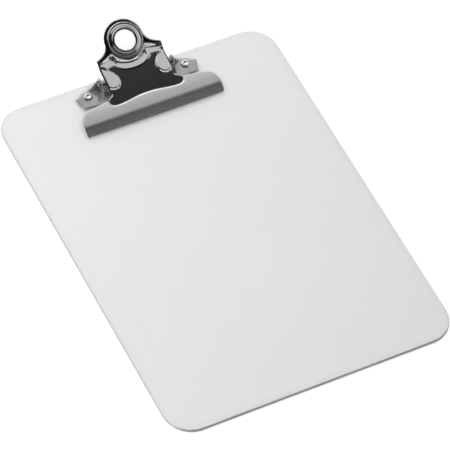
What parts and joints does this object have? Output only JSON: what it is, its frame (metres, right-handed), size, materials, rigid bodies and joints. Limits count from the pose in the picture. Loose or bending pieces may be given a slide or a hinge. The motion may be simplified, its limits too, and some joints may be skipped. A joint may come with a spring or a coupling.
{
  "type": "clipboard",
  "caption": "Letter-size clear plastic clipboard with a wide sprung steel clip, a finger lever and a hanging hole at one end.",
  "frame": {"origin": "centre of the board's flat back face", "axes": "+X across the board, +Y along it towards the clip, +Z out of the writing side"},
  "size_m": [0.2286, 0.343, 0.0348],
  "materials": {
    "clear_board": "clear, smooth, polished faces",
    "plated_steel": "bright nickel plate",
    "steel_pin": "bright drawn steel",
    "spring_wire": "oiled spring steel",
    "steel_rivet": "bright nickel plate"
  },
  "bodies": {
    "board_body": {"board": "clear_board", "base_plate": "plated_steel", "pivot_pin": "steel_pin", "rivet_left": "steel_rivet", "rivet_right": "steel_rivet", "spring_left": "spring_wire", "spring_right": "spring_wire"},
    "clip_body": {"top_plate": "plated_steel", "hanging_eyelet": "plated_steel"}
  },
  "joints": [
    {"name": "clip_hinge", "type": "hinge", "parent": "board_body", "child": "clip_body", "pos_m": [0, 0.148, 0.0105], "axis": [-1, 0, 0], "range_deg": [0, 30], "stiffness_Nm_per_rad": 1.15, "springref_deg": -32.09, "deforming": ["spring_left", "spring_right"]}
  ]
}
